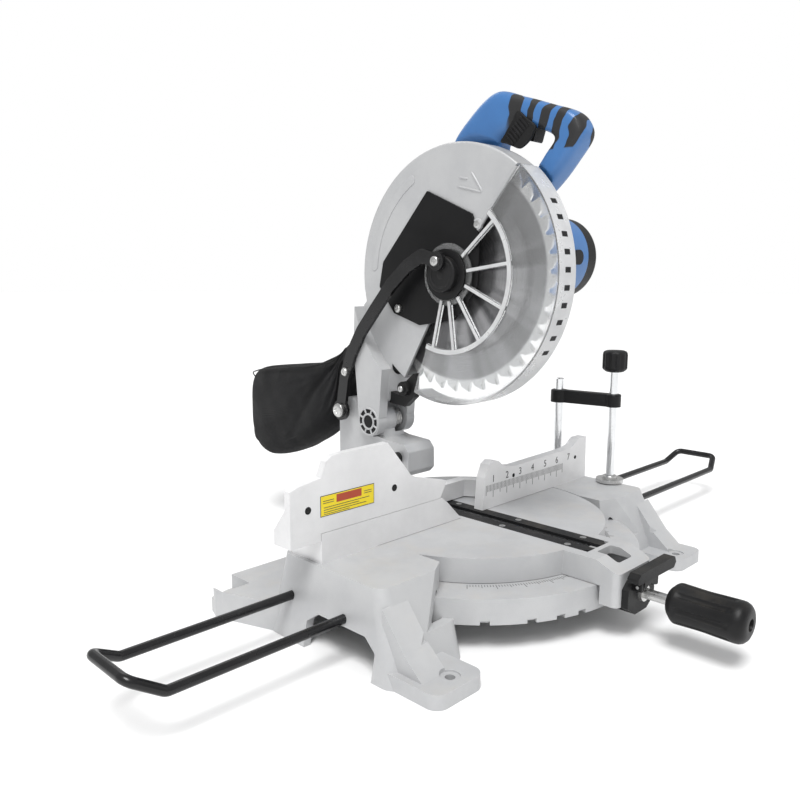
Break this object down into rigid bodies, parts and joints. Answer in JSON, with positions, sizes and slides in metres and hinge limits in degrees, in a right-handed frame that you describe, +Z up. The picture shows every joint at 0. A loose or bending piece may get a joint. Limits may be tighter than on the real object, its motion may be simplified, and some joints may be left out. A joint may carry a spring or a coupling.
{
  "type": "compound mitre saw",
  "caption": "Compound mitre saw on its cast base, head raised: turning table, split fence, guarded blade, offset motor, dust bag, pull-out bars and a clamp.",
  "frame": {"origin": "the turning table's vertical axis at the plane the feet stand on", "axes": "+X to the operator's right, +Y away from the operator, +Z up; the blade lies in the plane x = 0"},
  "size_m": [0.9806, 0.7008, 0.5229],
  "materials": {
    "cast_light": "die cast, light grey paint",
    "fence_metal": "die cast, ground faces",
    "steel": "zinc plated",
    "chrome_rod": "bright plated rod",
    "black_rod": "gloss black coating",
    "blade_steel": "ground plate",
    "blue_plastic": "moulded, satin gloss",
    "black_plastic": "moulded, fine texture",
    "kerf_plastic": "moulded, smooth",
    "clear_plastic": "clear polycarbonate",
    "bag_fabric": "woven cloth"
  },
  "bodies": {
    "base": {"base_casting": "cast_light", "centre_bolt": "steel", "fence": "fence_metal", "fence_bolts": "steel"},
    "table": {"turntable": "cast_light", "kerf_plate_left": "kerf_plastic", "kerf_plate_right": "kerf_plastic", "kerf_screws": "steel", "front_bracket": "black_plastic", "lever_pin": "steel", "lock_collar": "steel", "bevel_bolt": "steel"},
    "detent": {"detent_lever": "black_plastic"},
    "lock": {"lock_rod": "steel", "lock_handle": "black_plastic"},
    "bevel": {"bevel_arm": "cast_light", "pivot_shaft": "steel", "return_spring": "steel", "link_bolt": "steel"},
    "hold_down": {"hold_pin": "black_plastic"},
    "head": {"blade_case": "cast_light", "centre_cover": "black_plastic", "gear_case": "cast_light", "motor_housing": "blue_plastic", "motor_cap": "black_plastic", "brush_caps": "black_plastic", "handle": "blue_plastic", "switch_panel": "black_plastic", "dust_port": "black_plastic", "bag_collar": "black_plastic", "dust_bag": "bag_fabric", "chip_guide": "black_plastic", "case_screws": "steel"},
    "spindle": {"saw_blade": "blade_steel", "inner_flange": "steel", "outer_flange": "steel", "arbor_bolt": "steel", "arbor_shaft": "steel"},
    "rotor": {"armature": "steel"},
    "guard": {"lower_guard": "clear_plastic", "guard_hub": "black_plastic"},
    "link": {"link_arm": "black_plastic", "link_screws": "steel"},
    "switch": {"trigger": "black_plastic"},
    "slide_fence": {"sliding_fence": "fence_metal"},
    "bar_left": {"left_bar": "black_rod"},
    "bar_right": {"right_bar": "black_rod"},
    "clamp": {"clamp_post": "chrome_rod", "clamp_arm": "black_plastic"},
    "pad": {"clamp_pad": "steel"},
    "screw": {"clamp_screw": "steel", "clamp_knob": "black_plastic"}
  },
  "joints": [
    {"name": "mitre_turn", "type": "hinge", "parent": "base", "child": "table", "pos_m": [0, 0, 0.05], "axis": [0, 0, 1], "range_deg": [-45, 45]},
    {"name": "detent_press", "type": "hinge", "parent": "table", "child": "detent", "pos_m": [0, -0.217, 0.053], "axis": [1, 0, 0], "range_deg": [0, 6], "stiffness_Nm_per_rad": 0.8, "springref_deg": -6.88},
    {"name": "lock_turn", "type": "hinge", "parent": "table", "child": "lock", "pos_m": [0, -0.262, 0.043], "axis": [0, 1, 0], "range_deg": [-270, 0]},
    {"name": "bevel_tilt", "type": "hinge", "parent": "table", "child": "bevel", "pos_m": [0, 0.172, 0.075], "axis": [0, -1, 0], "range_deg": [0, 45]},
    {"name": "hold_pin_pull", "type": "slide", "parent": "bevel", "child": "hold_down", "axis": [-1, 0, 0], "range_m": [0, 0.007]},
    {"name": "head_chop", "type": "hinge", "parent": "bevel", "child": "head", "pos_m": [0, 0.129, 0.163], "axis": [1, 0, 0], "range_deg": [0, 47.3], "stiffness_Nm_per_rad": 15, "springref_deg": -57.3},
    {"name": "blade_spin", "type": "hinge", "parent": "head", "child": "spindle", "pos_m": [0, 0.017, 0.336], "axis": [1, 0, 0], "continuous": true},
    {"name": "rotor_spin", "type": "hinge", "parent": "head", "child": "rotor", "pos_m": [0, 0.003, 0.356], "axis": [1, 0, 0], "continuous": true},
    {"name": "guard_turn", "type": "hinge", "parent": "head", "child": "guard", "pos_m": [0, 0.017, 0.336], "axis": [1, 0, 0], "range_deg": [-125.3, 0]},
    {"name": "link_turn", "type": "hinge", "parent": "bevel", "child": "link", "pos_m": [0, 0.174, 0.172], "axis": [1, 0, 0], "range_deg": [0, 42.6]},
    {"name": "trigger_squeeze", "type": "slide", "parent": "head", "child": "switch", "axis": [0, -0.3007, 0.9537], "range_m": [0, 0.005], "stiffness_N_per_m": 400, "springref_m": -0.004},
    {"name": "fence_slide", "type": "slide", "parent": "base", "child": "slide_fence", "axis": [-1, 0, 0], "range_m": [0, 0.075]},
    {"name": "left_bar_slide", "type": "slide", "parent": "base", "child": "bar_left", "axis": [-1, 0, 0], "range_m": [0, 0.08]},
    {"name": "right_bar_slide", "type": "slide", "parent": "base", "child": "bar_right", "axis": [1, 0, 0], "range_m": [-0.15, 0]},
    {"name": "clamp_swing", "type": "hinge", "parent": "base", "child": "clamp", "pos_m": [0.208, 0.02, 0.12], "axis": [0, 0, 1], "range_deg": [-45, 30]},
    {"name": "pad_feed", "type": "slide", "parent": "clamp", "child": "pad", "axis": [0, 0, 1], "range_m": [-0.001, 0.06]},
    {"name": "screw_turn", "type": "hinge", "parent": "pad", "child": "screw", "pos_m": [0.222, -0.05, 0.15], "axis": [0, 0, 1], "range_deg": [-95, 5450]}
  ],
  "couplings": [
    {"joint": "rotor_spin", "follows": "blade_spin", "ratio": -3.4047},
    {"joint": "guard_turn", "follows": "head_chop", "ratio": -2.6427},
    {"joint": "link_turn", "follows": "head_chop", "ratio": 0.8989},
    {"joint": "screw_turn", "follows": "pad_feed", "rad_per_m": 1570.8}
  ]
}
